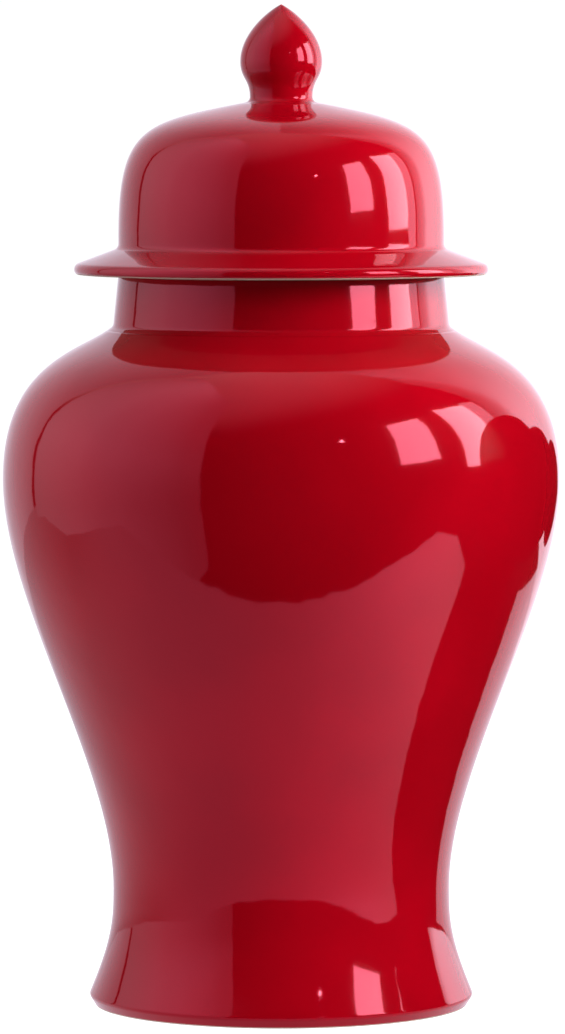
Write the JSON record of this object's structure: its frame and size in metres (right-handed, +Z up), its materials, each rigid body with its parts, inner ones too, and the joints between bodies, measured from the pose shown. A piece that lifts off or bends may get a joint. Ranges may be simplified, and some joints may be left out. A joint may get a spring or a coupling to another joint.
{
  "type": "ginger jar",
  "caption": "Tall lidded ceramic ginger jar with a full belly, narrow waist, flared foot, short neck and a lift-off domed lid with a bud finial, glazed deep red.",
  "frame": {"origin": "centre of the foot, on the surface that the jar stands on", "axes": "+Z up along the jar's axis, from the foot to the tip of the finial; X and Y are any two level directions, because every section is round"},
  "size_m": [0.2548, 0.2548, 0.4579],
  "materials": {
    "red_glaze": "high gloss deep red glaze",
    "bare_clay": "unglazed fired clay, matt and slightly rough"
  },
  "bodies": {
    "jar": {"jar_body": "red_glaze", "foot_ring": "bare_clay", "neck_ring": "red_glaze"},
    "lid": {"lid_cap": "red_glaze", "lid_collar": "bare_clay", "finial": "red_glaze"}
  },
  "joints": [
    {"name": "lid_lift", "type": "slide", "parent": "jar", "child": "lid", "axis": [0, 0, 1], "range_m": [0, 0.12]}
  ]
}
